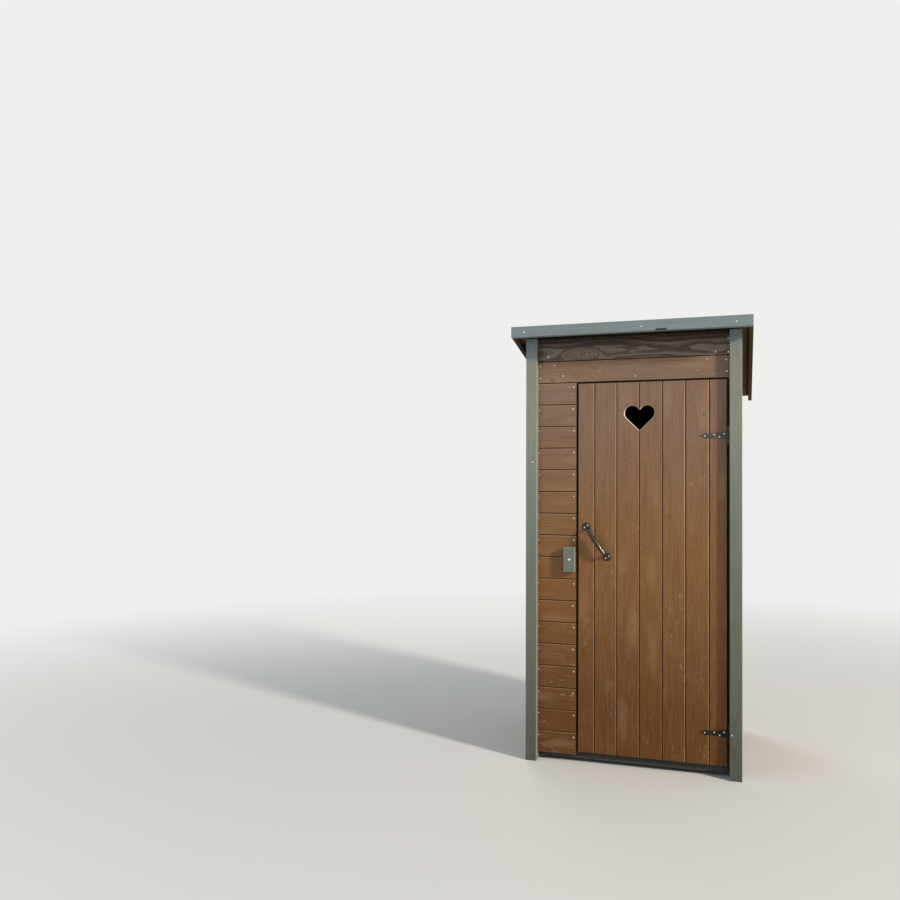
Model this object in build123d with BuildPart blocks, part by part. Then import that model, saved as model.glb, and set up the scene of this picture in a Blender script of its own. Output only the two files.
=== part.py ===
from build123d import *
import math
import os

# A small timber outhouse: four painted corner posts, boarded walls between them,
# a ledged and braced door on two T-hinges, and a lean-to roof that falls to the rear.
# Millimetres. X is to the right, seen from the front, Y runs to the rear, Z is up.
# The origin is at the ground, in the middle of the plan.

os.makedirs("parts", exist_ok=True)

# Plan and posts
body_width = 1044
body_depth = 930
post_width = 56
post_depth = 98
front_setback = 33
side_setback = 15
rear_setback = 33

# Boards and framing
board_thickness = 20
boards_bottom = 40
boarding_beside_door = 1870
boarding_over_door = 218
framing = 45
base_clearance = 20
base_rail_height = 95
floor_thickness = 20
top_plate_height = 95
top_rail_height = 70
mid_rail_height = 45
mid_rail_bottom = 950
joist_height = 95

# Roof
roof_pitch = 12
front_overhang = 110
rear_overhang = 110
side_overhang = 51
deck_thickness = 20
covering_thickness = 3
fascia_thickness = 20
fascia_height = 52
barge_thickness = 20
barge_height = 52

# Door
door_width = 711
door_thickness = 18
door_bottom = 59
door_head_gap = 8
hinge_gap = 14
latch_gap = 12
stop_gap = 5
stop_overlap = 12
ledge_height = 90
ledge_thickness = 20
ledge_end_gap = 10
bottom_ledge_bottom = 168
middle_ledge_bottom = 865
top_ledge_bottom = 1562
brace_width = 90

# Heart cut through the door
heart_lobe_radius = 37
heart_lobe_offset = 36
heart_below_door_top = 152
heart_from_latch_edge = 301

# T-hinges
lower_hinge_height = 212
upper_hinge_height = 1633
leaf_height = 90
leaf_thickness = 2.5
leaf_margin = 2
knuckle_radius = 5
knuckle_gap = 0.5
pin_radius = 2.2
pin_clearance = 0.05
pin_head = 2
axis_to_post = 7
strap_thickness = 2.5
strap_length = 134
strap_root_height = 36
strap_waist_height = 24
strap_waist_at = 48
strap_neck_height = 17
strap_neck_at = 88
scallop_swell = 1.5
arrow_height = 31
arrow_at = 102
arrow_hollow = 1

# Pull handle
handle_from_latch_edge = 92
handle_height = 1111
handle_tilt = 55
handle_centres = 182
handle_plate_radius = 20
handle_plate_thickness = 4
handle_neck_inset = 11
handle_stand = 34
handle_bend_radius = 16
grip_end_radius = 7.5
grip_middle_radius = 11.5

# Turn-button
button_length = 124
button_width = 57
button_thickness = 26
button_stand = 8
button_from_door = 42
button_height = 1020
button_edge = 2
button_screw_radius = 3
button_screw_head_radius = 7
button_screw_head_height = 3
button_spacer_radius = 10
button_running_gap = 0.3

# Worked out from the sizes above
half_width = body_width / 2
half_depth = body_depth / 2
inner_x = half_width - post_width
post_inner_y = half_depth - post_depth
post_front_y = -half_depth
front_face_y = -half_depth + front_setback
front_frame_y = front_face_y + board_thickness
rear_face_y = half_depth - rear_setback
rear_frame_y = rear_face_y - board_thickness
side_face_x = half_width - side_setback
side_frame_x = side_face_x - board_thickness
side_room_x = side_frame_x - framing
base_top = base_clearance + base_rail_height
floor_top = base_top + floor_thickness
door_head = boards_bottom + boarding_beside_door
door_top = door_head - door_head_gap
door_hinge_x = inner_x - hinge_gap
door_latch_x = door_hinge_x - door_width
side_panel_end_x = door_latch_x - latch_gap
door_back_y = front_frame_y - stop_gap
door_face_y = door_back_y - door_thickness
latch_stop_x = door_latch_x + stop_overlap
hinge_stud_x = inner_x - framing
roof_front_y = -half_depth - front_overhang
roof_rear_y = half_depth + rear_overhang
roof_half_width = half_width + side_overhang
deck_half_width = roof_half_width - barge_thickness
deck_front_y = roof_front_y + fascia_thickness
pitch = math.radians(roof_pitch)
covering_drop = covering_thickness / math.cos(pitch)
deck_drop = deck_thickness / math.cos(pitch)
ceiling_drop = covering_drop + deck_drop
roof_fall_to_boards = (front_face_y - roof_front_y) * math.tan(pitch)
roof_front_height = door_head + boarding_over_door + ceiling_drop + roof_fall_to_boards


def roof_top(y):
    """Height of the roof's upper face at a place along the depth."""
    return roof_front_height - (y - roof_front_y) * math.tan(pitch)


def sloping_section(front_y, rear_y, top_drop, depth):
    """Side section of a piece that follows the roof, with plumb ends."""
    Polygon(
        (front_y, roof_top(front_y) - top_drop),
        (rear_y, roof_top(rear_y) - top_drop),
        (rear_y, roof_top(rear_y) - top_drop - depth),
        (front_y, roof_top(front_y) - top_drop - depth),
        align=None,
    )


def upright_section(front_y, rear_y, foot, top_drop):
    """Side section of an upright piece, its head cut to the roof's slope."""
    Polygon(
        (front_y, foot),
        (rear_y, foot),
        (rear_y, roof_top(rear_y) - top_drop),
        (front_y, roof_top(front_y) - top_drop),
        align=None,
    )


# Corner posts, from the ground to the underside of the roof deck
post_places = {
    "front_left_post": (-half_width, post_front_y, -post_inner_y),
    "front_right_post": (inner_x, post_front_y, -post_inner_y),
    "rear_left_post": (-half_width, post_inner_y, half_depth),
    "rear_right_post": (inner_x, post_inner_y, half_depth),
}
for post_name, (left_x, front_y, rear_y) in post_places.items():
    with BuildPart() as post:
        with BuildSketch(Plane.YZ.offset(left_x)):
            upright_section(front_y, rear_y, 0, ceiling_drop)
        extrude(amount=post_width)
    post.part.label = post_name
    export_step(post.part, "parts/" + post_name + ".step")

# Base frame: rails between the posts, held off the ground, and a joist across the middle
with BuildPart() as base_front_rail:
    with BuildSketch(Plane.XY.offset(base_clearance)):
        with Locations((0, front_frame_y + framing / 2)):
            Rectangle(2 * inner_x, framing)
    extrude(amount=base_rail_height)
base_front_rail.part.label = "base_front_rail"
export_step(base_front_rail.part, "parts/base_front_rail.step")

with BuildPart() as base_rear_rail:
    with BuildSketch(Plane.XY.offset(base_clearance)):
        with Locations((0, rear_frame_y - framing / 2)):
            Rectangle(2 * inner_x, framing)
    extrude(amount=base_rail_height)
base_rear_rail.part.label = "base_rear_rail"
export_step(base_rear_rail.part, "parts/base_rear_rail.step")

side_signs = {"left": -1, "right": 1}
for side, sign in side_signs.items():
    with BuildPart() as base_side_rail:
        with BuildSketch(Plane.XY.offset(base_clearance)):
            with Locations((sign * (side_frame_x - framing / 2), 0)):
                Rectangle(framing, 2 * post_inner_y)
        extrude(amount=base_rail_height)
    base_side_rail.part.label = "base_" + side + "_rail"
    export_step(base_side_rail.part, "parts/base_" + side + "_rail.step")

with BuildPart() as floor_joist:
    with BuildSketch(Plane.XY.offset(base_top - joist_height)):
        Rectangle(2 * side_room_x, framing)
    extrude(amount=joist_height)
floor_joist.part.label = "floor_joist"
export_step(floor_joist.part, "parts/floor_joist.step")

# Floor, laid on the base frame and notched round the posts
with BuildPart() as floor:
    with BuildSketch(Plane.XY.offset(base_top)):
        Rectangle(2 * side_frame_x, 2 * post_inner_y)
        with Locations((0, (front_frame_y + rear_frame_y) / 2)):
            Rectangle(2 * inner_x, rear_frame_y - front_frame_y)
    extrude(amount=floor_thickness)
floor.part.label = "floor"
export_step(floor.part, "parts/floor.step")

# Front wall, split beside and over the doorway
with BuildPart() as front_side_wall:
    with BuildSketch(Plane.XY.offset(boards_bottom)):
        with Locations(((-inner_x + side_panel_end_x) / 2, front_face_y + board_thickness / 2)):
            Rectangle(side_panel_end_x + inner_x, board_thickness)
    extrude(amount=door_head - boards_bottom)
front_side_wall.part.label = "front_side_wall"
export_step(front_side_wall.part, "parts/front_side_wall.step")

with BuildPart() as front_top_wall:
    with BuildSketch(Plane.YZ.offset(-inner_x)):
        upright_section(front_face_y, front_frame_y, door_head, ceiling_drop)
    extrude(amount=2 * inner_x)
front_top_wall.part.label = "front_top_wall"
export_step(front_top_wall.part, "parts/front_top_wall.step")

# Side walls between the posts, and the rear wall
for side, sign in side_signs.items():
    with BuildPart() as side_wall:
        with BuildSketch(Plane.YZ.offset(sign * side_face_x)):
            upright_section(-post_inner_y, post_inner_y, boards_bottom, ceiling_drop)
        extrude(amount=-sign * board_thickness)
    side_wall.part.label = side + "_wall"
    export_step(side_wall.part, "parts/" + side + "_wall.step")

with BuildPart() as rear_wall:
    with BuildSketch(Plane.YZ.offset(-inner_x)):
        upright_section(rear_frame_y, rear_face_y, boards_bottom, ceiling_drop)
    extrude(amount=2 * inner_x)
rear_wall.part.label = "rear_wall"
export_step(rear_wall.part, "parts/rear_wall.step")

# Plates under the roof, front and rear
plate_places = {
    "front_top_plate": front_frame_y,
    "rear_top_plate": rear_frame_y - framing,
}
for plate_name, plate_y in plate_places.items():
    with BuildPart() as top_plate:
        with BuildSketch(Plane.YZ.offset(-inner_x)):
            sloping_section(plate_y, plate_y + framing, ceiling_drop, top_plate_height)
        extrude(amount=2 * inner_x)
    top_plate.part.label = plate_name
    export_step(top_plate.part, "parts/" + plate_name + ".step")

# Rails inside the side walls, sloping under the roof and level at half height
for side, sign in side_signs.items():
    with BuildPart() as top_rail:
        with BuildSketch(Plane.YZ.offset(sign * side_frame_x)):
            sloping_section(-post_inner_y, post_inner_y, ceiling_drop, top_rail_height)
        extrude(amount=-sign * framing)
    top_rail.part.label = side + "_top_rail"
    export_step(top_rail.part, "parts/" + side + "_top_rail.step")

    with BuildPart() as mid_rail:
        with BuildSketch(Plane.XY.offset(mid_rail_bottom)):
            with Locations((sign * (side_frame_x - framing / 2), 0)):
                Rectangle(framing, 2 * post_inner_y)
        extrude(amount=mid_rail_height)
    mid_rail.part.label = side + "_mid_rail"
    export_step(mid_rail.part, "parts/" + side + "_mid_rail.step")

with BuildPart() as rear_mid_rail:
    with BuildSketch(Plane.XY.offset(mid_rail_bottom)):
        with Locations((0, rear_frame_y - framing / 2)):
            Rectangle(2 * inner_x, framing)
    extrude(amount=mid_rail_height)
rear_mid_rail.part.label = "rear_mid_rail"
export_step(rear_mid_rail.part, "parts/rear_mid_rail.step")

# Purlin across the middle of the roof, between the side rails
with BuildPart() as roof_purlin:
    with BuildSketch(Plane.YZ.offset(-side_room_x)):
        sloping_section(-framing / 2, framing / 2, ceiling_drop, top_rail_height)
    extrude(amount=2 * side_room_x)
roof_purlin.part.label = "roof_purlin"
export_step(roof_purlin.part, "parts/roof_purlin.step")

# Studs behind the front boards; two of them and the header stop the door
stud_places = {
    "front_left_stud": -inner_x,
    "latch_stud": latch_stop_x - framing,
    "hinge_stud": hinge_stud_x,
}
for stud_name, stud_x in stud_places.items():
    with BuildPart() as stud:
        with BuildSketch(Plane.YZ.offset(stud_x)):
            upright_section(
                front_frame_y,
                front_frame_y + framing,
                floor_top,
                ceiling_drop + top_plate_height,
            )
        extrude(amount=framing)
    stud.part.label = stud_name
    export_step(stud.part, "parts/" + stud_name + ".step")

with BuildPart() as door_header:
    with BuildSketch(Plane.XY.offset(door_top - stop_overlap)):
        with Locations(((latch_stop_x + hinge_stud_x) / 2, front_frame_y + framing / 2)):
            Rectangle(hinge_stud_x - latch_stop_x, framing)
    extrude(amount=framing)
door_header.part.label = "door_header"
export_step(door_header.part, "parts/door_header.step")

# Roof: deck, covering, fascia across the front and a barge board on each side
with BuildPart() as roof_deck:
    with BuildSketch(Plane.YZ.offset(-deck_half_width)):
        sloping_section(deck_front_y, roof_rear_y, covering_drop, deck_drop)
    extrude(amount=2 * deck_half_width)
roof_deck.part.label = "roof_deck"
export_step(roof_deck.part, "parts/roof_deck.step")

with BuildPart() as roof_covering:
    with BuildSketch(Plane.YZ.offset(-deck_half_width)):
        sloping_section(deck_front_y, roof_rear_y, 0, covering_drop)
    extrude(amount=2 * deck_half_width)
roof_covering.part.label = "roof_covering"
export_step(roof_covering.part, "parts/roof_covering.step")

with BuildPart() as fascia:
    with BuildSketch(Plane.YZ.offset(-roof_half_width)):
        sloping_section(roof_front_y, deck_front_y, 0, fascia_height)
    extrude(amount=2 * roof_half_width)
fascia.part.label = "fascia"
export_step(fascia.part, "parts/fascia.step")

for side, sign in side_signs.items():
    with BuildPart() as barge_board:
        with BuildSketch(Plane.YZ.offset(sign * roof_half_width)):
            sloping_section(deck_front_y, roof_rear_y, 0, barge_height)
        extrude(amount=-sign * barge_thickness)
    barge_board.part.label = side + "_barge_board"
    export_step(barge_board.part, "parts/" + side + "_barge_board.step")

# Door: one boarded leaf with a heart cut through it
heart_x = door_latch_x + heart_from_latch_edge
heart_height = door_top - heart_below_door_top
heart_plane = Plane(origin=(heart_x, door_face_y, heart_height), x_dir=(1, 0, 0), z_dir=(0, -1, 0))
tangent = heart_lobe_radius * math.cos(math.radians(45))
heart_side = heart_lobe_offset + tangent

with BuildPart() as door_panel:
    with BuildSketch(Plane.XY.offset(door_bottom)):
        with Locations((door_latch_x + door_width / 2, door_face_y + door_thickness / 2)):
            Rectangle(door_width, door_thickness)
    extrude(amount=door_top - door_bottom)
    with BuildSketch(heart_plane):
        with Locations((-heart_lobe_offset, 0), (heart_lobe_offset, 0)):
            Circle(heart_lobe_radius)
        Polygon(
            (-heart_lobe_offset, 0),
            (-heart_side, -tangent),
            (0, -tangent - heart_side),
            (heart_side, -tangent),
            (heart_lobe_offset, 0),
            align=None,
        )
    extrude(amount=-door_thickness, mode=Mode.SUBTRACT)
door_panel.part.label = "door_panel"
export_step(door_panel.part, "parts/door_panel.step")

# Ledges and diagonal braces on the back of the door, between the stops
ledge_left_x = latch_stop_x + ledge_end_gap
ledge_right_x = hinge_stud_x - ledge_end_gap
ledge_places = {
    "door_bottom_ledge": bottom_ledge_bottom,
    "door_middle_ledge": middle_ledge_bottom,
    "door_top_ledge": top_ledge_bottom,
}
for ledge_name, ledge_bottom in ledge_places.items():
    with BuildPart() as ledge:
        with BuildSketch(Plane.XY.offset(ledge_bottom)):
            with Locations(((ledge_left_x + ledge_right_x) / 2, door_back_y + ledge_thickness / 2)):
                Rectangle(ledge_right_x - ledge_left_x, ledge_thickness)
        extrude(amount=ledge_height)
    ledge.part.label = ledge_name
    export_step(ledge.part, "parts/" + ledge_name + ".step")

back_plane = Plane(origin=(0, door_back_y, 0), x_dir=(1, 0, 0), z_dir=(0, -1, 0))
brace_spans = {
    "door_lower_brace": (bottom_ledge_bottom + ledge_height, middle_ledge_bottom),
    "door_upper_brace": (middle_ledge_bottom + ledge_height, top_ledge_bottom),
}
for brace_name, (brace_foot, brace_head) in brace_spans.items():
    run = ledge_right_x - ledge_left_x
    rise = brace_head - brace_foot
    foot_width = brace_width * math.hypot(run, rise) / rise
    with BuildPart() as brace:
        with BuildSketch(back_plane):
            Polygon(
                (ledge_right_x, brace_foot),
                (ledge_left_x + foot_width, brace_head),
                (ledge_left_x, brace_head),
                (ledge_right_x - foot_width, brace_foot),
                align=None,
            )
        extrude(amount=-ledge_thickness)
    brace.part.label = brace_name
    export_step(brace.part, "parts/" + brace_name + ".step")

# T-hinges: a leaf with its pin on the post's side, and a scalloped strap with an arrow head on the door
axis_x = inner_x - axis_to_post
axis_y = door_face_y - knuckle_radius
leaf_front_y = post_front_y + leaf_margin
leaf_notch_y = axis_y - knuckle_radius - 2 * knuckle_gap
outer_knuckle_height = (leaf_height - strap_root_height) / 2 - knuckle_gap
hinge_heights = {"lower": lower_hinge_height, "upper": upper_hinge_height}

for hinge, hinge_height in hinge_heights.items():
    leaf_foot = hinge_height - leaf_height / 2
    leaf_top = hinge_height + leaf_height / 2
    with BuildPart() as hinge_leaf:
        with BuildSketch(Plane.XY.offset(leaf_foot)):
            with Locations((inner_x, leaf_front_y)):
                Rectangle(leaf_thickness, leaf_notch_y - leaf_front_y, align=(Align.MAX, Align.MIN))
        extrude(amount=leaf_height)
        with BuildSketch(Plane.XY.offset(leaf_foot), Plane.XY.offset(leaf_top - outer_knuckle_height)):
            with Locations((inner_x, leaf_front_y)):
                Rectangle(
                    leaf_thickness,
                    axis_y - knuckle_radius + leaf_thickness - leaf_front_y,
                    align=(Align.MAX, Align.MIN),
                )
            with Locations((inner_x, axis_y - knuckle_radius)):
                Rectangle(axis_to_post, leaf_thickness, align=(Align.MAX, Align.MIN))
            with Locations((axis_x, axis_y)):
                Circle(knuckle_radius)
        extrude(amount=outer_knuckle_height)
        with BuildSketch(Plane.XY.offset(leaf_foot - pin_head)):
            with Locations((axis_x, axis_y)):
                Circle(pin_radius)
        extrude(amount=leaf_height + 2 * pin_head)
    hinge_leaf.part.label = hinge + "_hinge_leaf"
    export_step(hinge_leaf.part, "parts/" + hinge + "_hinge_leaf.step")

    strap_plane = Plane(origin=(axis_x, door_face_y, hinge_height), x_dir=(-1, 0, 0), z_dir=(0, 1, 0))
    with BuildPart() as hinge_strap:
        with BuildSketch(strap_plane):
            with BuildLine():
                Polyline((0, 0), (0, strap_root_height / 2), (knuckle_radius, strap_root_height / 2))
                ThreePointArc(
                    (knuckle_radius, strap_root_height / 2),
                    (
                        (knuckle_radius + strap_waist_at) / 2,
                        (strap_root_height + strap_waist_height) / 4 + scallop_swell,
                    ),
                    (strap_waist_at, strap_waist_height / 2),
                )
                ThreePointArc(
                    (strap_waist_at, strap_waist_height / 2),
                    (
                        (strap_waist_at + strap_neck_at) / 2,
                        (strap_waist_height + strap_neck_height) / 4 + scallop_swell,
                    ),
                    (strap_neck_at, strap_neck_height / 2),
                )
                ThreePointArc(
                    (strap_neck_at, strap_neck_height / 2),
                    ((strap_neck_at + arrow_at) / 2, (strap_neck_height + arrow_height) / 4 - arrow_hollow),
                    (arrow_at, arrow_height / 2),
                )
                RadiusArc((arrow_at, arrow_height / 2), (strap_length, 0), -strap_length / 2)
                Line((strap_length, 0), (0, 0))
            make_face()
            mirror(about=Plane.XZ)
        extrude(amount=-strap_thickness)
        with BuildSketch(Plane.XY.offset(hinge_height - strap_root_height / 2)):
            with Locations((axis_x, axis_y)):
                Circle(knuckle_radius)
        extrude(amount=strap_root_height)
        with BuildSketch(Plane.XY.offset(hinge_height - strap_root_height / 2)):
            with Locations((axis_x, axis_y)):
                Circle(pin_radius + pin_clearance)
        extrude(amount=strap_root_height, mode=Mode.SUBTRACT)
    hinge_strap.part.label = hinge + "_hinge_strap"
    export_step(hinge_strap.part, "parts/" + hinge + "_hinge_strap.step")

# Pull handle: round plates, bent necks near their inner sides and a swelling grip, aslant on the door
tilt = math.radians(handle_tilt)
handle_origin = (door_latch_x + handle_from_latch_edge, door_face_y, handle_height)
along_handle = (math.cos(tilt), 0, -math.sin(tilt))
handle_plane = Plane(origin=handle_origin, x_dir=along_handle, z_dir=(0, -1, 0))
half_centres = handle_centres / 2
neck_half = half_centres - handle_neck_inset
grip_half = neck_half - handle_bend_radius
side_plane = Plane(origin=handle_origin, x_dir=along_handle, z_dir=(-math.sin(tilt), 0, -math.cos(tilt)))
grip_axis = Axis(handle_plane.from_local_coords((0, 0, handle_stand)), along_handle)

with BuildPart() as door_handle:
    with BuildSketch(handle_plane):
        with Locations((-half_centres, 0), (half_centres, 0)):
            Circle(handle_plate_radius)
    extrude(amount=handle_plate_thickness)
    plate_rims = door_handle.faces().filter_by(Axis.Y).group_by(Axis.Y)[0].edges()
    chamfer(plate_rims, handle_plate_thickness / 2)
    with BuildSketch(side_plane):
        with BuildLine():
            Line((-grip_half, handle_stand), (grip_half, handle_stand))
            Line((grip_half, handle_stand), (grip_half, handle_stand + grip_end_radius))
            ThreePointArc(
                (grip_half, handle_stand + grip_end_radius),
                (0, handle_stand + grip_middle_radius),
                (-grip_half, handle_stand + grip_end_radius),
            )
            Line((-grip_half, handle_stand + grip_end_radius), (-grip_half, handle_stand))
        make_face()
    revolve(axis=grip_axis)
    for end in (-1, 1):
        with BuildLine(side_plane) as neck_path:
            Line(
                (end * neck_half, handle_plate_thickness / 2),
                (end * neck_half, handle_stand - handle_bend_radius),
            )
            RadiusArc(
                (end * neck_half, handle_stand - handle_bend_radius),
                (end * grip_half, handle_stand),
                end * -handle_bend_radius,
            )
        with BuildSketch(handle_plane.offset(handle_plate_thickness / 2)):
            with Locations((end * neck_half, 0)):
                Circle(grip_end_radius)
        sweep(path=neck_path.wire())
door_handle.part.label = "door_handle"
export_step(door_handle.part, "parts/door_handle.step")

# Turn-button beside the door, upright when it is unlocked, on a screw with a spacer
button_x = door_latch_x - button_from_door
button_back = front_face_y - button_stand
button_plane = Plane(origin=(button_x, button_back, button_height), x_dir=(1, 0, 0), z_dir=(0, -1, 0))
spacer_plane = Plane(origin=(button_x, front_face_y, button_height), x_dir=(1, 0, 0), z_dir=(0, -1, 0))

with BuildPart() as turn_button:
    with BuildSketch(button_plane):
        Rectangle(button_width, button_length)
    extrude(amount=button_thickness)
    chamfer(turn_button.faces().sort_by(Axis.Y)[0].edges(), button_edge)
    with BuildSketch(button_plane):
        Circle(button_screw_radius + pin_clearance)
    extrude(amount=button_thickness, mode=Mode.SUBTRACT)
turn_button.part.label = "turn_button"
export_step(turn_button.part, "parts/turn_button.step")

with BuildPart() as turn_button_screw:
    with BuildSketch(spacer_plane):
        Circle(button_spacer_radius)
    extrude(amount=button_stand - button_running_gap)
    with BuildSketch(spacer_plane):
        Circle(button_screw_radius)
    extrude(amount=button_stand + button_thickness + button_running_gap)
    with BuildSketch(button_plane.offset(button_thickness + button_running_gap)):
        Circle(button_screw_head_radius)
    extrude(amount=button_screw_head_height)
    chamfer(turn_button_screw.faces().sort_by(Axis.Y)[0].edges(), button_screw_head_height / 2)
turn_button_screw.part.label = "turn_button_screw"
export_step(turn_button_screw.part, "parts/turn_button_screw.step")
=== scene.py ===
"""A wooden outhouse: stained boards, painted timber and a plank door with a heart cut in it."""

import functools
import math
import random

import bmesh
import bpy
from mathutils import Matrix, Vector


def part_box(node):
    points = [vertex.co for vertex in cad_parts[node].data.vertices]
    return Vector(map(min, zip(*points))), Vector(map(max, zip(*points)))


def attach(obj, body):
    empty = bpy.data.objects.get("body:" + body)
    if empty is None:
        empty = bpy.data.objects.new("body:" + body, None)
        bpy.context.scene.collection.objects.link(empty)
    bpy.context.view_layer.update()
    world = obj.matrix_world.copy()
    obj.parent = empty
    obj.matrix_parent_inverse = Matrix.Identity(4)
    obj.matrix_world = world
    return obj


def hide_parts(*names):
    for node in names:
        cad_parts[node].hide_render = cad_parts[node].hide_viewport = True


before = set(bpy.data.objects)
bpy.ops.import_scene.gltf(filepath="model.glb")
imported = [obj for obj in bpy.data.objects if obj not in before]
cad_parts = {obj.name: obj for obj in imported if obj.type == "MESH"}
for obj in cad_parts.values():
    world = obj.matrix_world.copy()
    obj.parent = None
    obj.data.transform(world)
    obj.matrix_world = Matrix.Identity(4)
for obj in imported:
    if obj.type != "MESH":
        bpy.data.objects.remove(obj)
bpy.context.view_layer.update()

bl_info = {
    "name": "Wooden Outhouse",
    "version": (1, 0, 0),
    "blender": (4, 5, 0),
    "location": "View3D > Sidebar > Outhouse",
    "description": "Builds a small boarded outhouse with a lean-to roof",
    "category": "Add Mesh",
}

MM = 0.001
SEED = 17
AXES = (Vector((1, 0, 0)), Vector((0, 1, 0)), Vector((0, 0, 1)))
ALONG_X, ALONG_Y, ALONG_Z = range(3)
FRONT = Vector((0, -1, 0))
BACKDROP = "#efefed"

ROOF_PITCH = math.radians(12)
HANDLE_TILT = math.radians(55)
HEART_DROP = 152 * MM  # from the top of the door's boards to the middle of the heart
TEAR_FROM_LEFT = 732 * MM  # place of the torn splinter along the fascia
FELT_LAP = 260 * MM  # how far the upper length of felt stops short of the rear edge
BOARD_UNEVENNESS = 0.35 * MM  # how far a board may stand proud or shy
TONGUE_SHARE = 0.30  # thickness of a tongue, as a share of the board's
# The same strength paints that board dark grey brown, as the fascia's painted shadow
BOLD_FIGURE_AND_SHADOW = 0.44  # strength of the grain on the board under the fascia
SHORTEST_CHAMFER = 30 * MM  # shorter edges belong to the heart's curve

# Grime and painted shade on timber, from 0 for clean to 1 for the dark inside of a joint
IN_JOINT = 1.0
# Painted shade on the studs and the header that show dark in the gaps round the door
SHADE_IN_DOOR_GAP = 0.88
# Painted shade on the base rails, low and set back under the boards
SHADE_ON_BASE_RAILS = 0.55

# Kinds of shader node that most finishes use
MATH = "ShaderNodeMath"
VECTOR_MATH = "ShaderNodeVectorMath"
RANGE = "ShaderNodeMapRange"
MIX = "ShaderNodeMix"
BUMP = "ShaderNodeBump"


class OuthouseSizes(bpy.types.PropertyGroup):
    """Sizes of the boards, their edges and the small fixings."""

    board_cover: bpy.props.FloatProperty(
        name="Board cover", description="Height of wall that one cladding board covers",
        default=0.110, min=0.05, unit="LENGTH",
    )
    board_gap: bpy.props.FloatProperty(
        name="Board gap", description="Open joint between two boards",
        default=0.0044, min=0.0, unit="LENGTH",
    )
    board_chamfer: bpy.props.FloatProperty(
        name="Board chamfer", description="Width of the worked edge along each board",
        default=0.0040, min=0.0, unit="LENGTH",
    )
    door_edge_board: bpy.props.FloatProperty(
        name="Door edge board", description="Width of the cut-down board at the door's latch edge",
        default=0.081, min=0.03, unit="LENGTH",
    )
    deck_board: bpy.props.FloatProperty(
        name="Deck board", description="Width of one roof deck board",
        default=0.0921, min=0.05, unit="LENGTH",
    )
    floor_board: bpy.props.FloatProperty(
        name="Floor board", description="Width of one floor board",
        default=0.103, min=0.05, unit="LENGTH",
    )
    timber_edge: bpy.props.FloatProperty(
        name="Timber edge", description="Rounding on the edges of sawn and planed timber",
        default=0.0018, min=0.0, unit="LENGTH",
    )
    screw_radius: bpy.props.FloatProperty(
        name="Screw head radius", description="Radius of a cladding screw's head",
        default=0.0042, min=0.001, unit="LENGTH",
    )
    nail_radius: bpy.props.FloatProperty(
        name="Nail head radius", description="Radius of the heads of the door's nails",
        default=0.0029, min=0.001, unit="LENGTH",
    )
    clout_radius: bpy.props.FloatProperty(
        name="Clout head radius", description="Radius of the heads of the felt's clout nails",
        default=0.0048, min=0.001, unit="LENGTH",
    )
    heart_edge: bpy.props.FloatProperty(
        name="Heart edge", description="Width of the sanded edge round the heart",
        default=0.0018, min=0.0, unit="LENGTH",
    )


class OuthouseColours(bpy.types.PropertyGroup):
    """Colours of the finishes, as sRGB hex values."""

    stain: bpy.props.StringProperty(
        name="Brown stain", description="Middle tone of the stained boards", default="#86623a"
    )
    paint: bpy.props.StringProperty(
        name="Grey paint", description="Paint on posts, fascia and sill", default="#79868a"
    )
    softwood: bpy.props.StringProperty(
        name="Bare softwood", description="Unpainted framing and deck boards", default="#c4a06c"
    )
    enamel: bpy.props.StringProperty(
        name="Black enamel", description="Pull handle", default="#0d0b0b"
    )
    felt: bpy.props.StringProperty(
        name="Roofing felt", description="Covering of the roof", default="#4a4b4c"
    )
    floor: bpy.props.StringProperty(
        name="Studio floor", description="Floor under the outhouse", default="#d9d8d4"
    )


def linear(hex_colour):
    """The linear RGBA value of an sRGB hex colour."""
    channels = [int(hex_colour[i:i + 2], 16) / 255 for i in (1, 3, 5)]
    linear_channels = [
        c / 12.92 if c <= 0.04045 else ((c + 0.055) / 1.055) ** 2.4 for c in channels
    ]
    return (*linear_channels, 1.0)


def shaded(hex_colour, factor):
    """The same hue made darker or lighter, as linear RGBA."""
    r, g, b, a = linear(hex_colour)
    return (min(r * factor, 1.0), min(g * factor, 1.0), min(b * factor, 1.0), a)


def add_node(tree, kind, inputs=(), output=0, **settings):
    """Adds a shader node with its settings, and gives one of its outputs, or all for None.

    Its sockets are filled or linked in the node's own order, or by the keys of a dictionary.
    """
    node = tree.nodes.new(kind)
    for key, value in settings.items():
        setattr(node, key, value)
    for key, value in inputs.items() if isinstance(inputs, dict) else enumerate(inputs):
        if isinstance(value, bpy.types.NodeSocket):
            tree.links.new(value, node.inputs[key])
        else:
            node.inputs[key].default_value = value
    return node.outputs if output is None else node.outputs[output]


def node_adder(owner):
    """Clears the nodes of a material or world, and gives add_node for its tree."""
    owner.use_nodes = True
    owner.node_tree.nodes.clear()
    return functools.partial(add_node, owner.node_tree)


def patterns(add, place, table, output="Fac"):
    """Random patterns by name, from the length of their features in mm along each axis.

    After the lengths come how many finer layers a pattern has, and how strong they are.
    """
    made = {}
    for name, (lengths, layers, strength) in table.items():
        factors = [1 / (length * MM) for length in lengths]
        scaled = add(VECTOR_MATH, (place, factors), operation="MULTIPLY")
        sockets = {"Vector": scaled, "Scale": 1.0, "Detail": layers, "Roughness": strength}
        made[name] = add("ShaderNodeTexNoise", sockets, output)
    return made


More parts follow.
